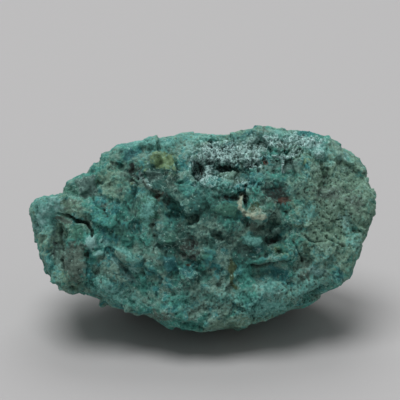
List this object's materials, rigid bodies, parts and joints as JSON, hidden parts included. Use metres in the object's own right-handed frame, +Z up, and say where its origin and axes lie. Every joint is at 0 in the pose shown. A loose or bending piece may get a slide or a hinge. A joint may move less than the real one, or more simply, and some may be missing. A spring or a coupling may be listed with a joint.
{
  "type": "chrysocolla specimen",
  "caption": "Natural rough lump of blue-green copper silicate rock with a broken display face and a crusty top, resting on a small worn flat.",
  "frame": {"origin": "under the middle of the stone, on the surface it rests on", "axes": "+Z up; +X along the stone's length, from the stepped left end to the rounded right end; the display face looks towards -Y and a little upwards"},
  "size_m": [0.0996, 0.0598, 0.059],
  "materials": {
    "chrysocolla": "rough, matte, broken mineral surface"
  },
  "bodies": {
    "root": {"stone": "chrysocolla"}
  },
  "joints": []
}
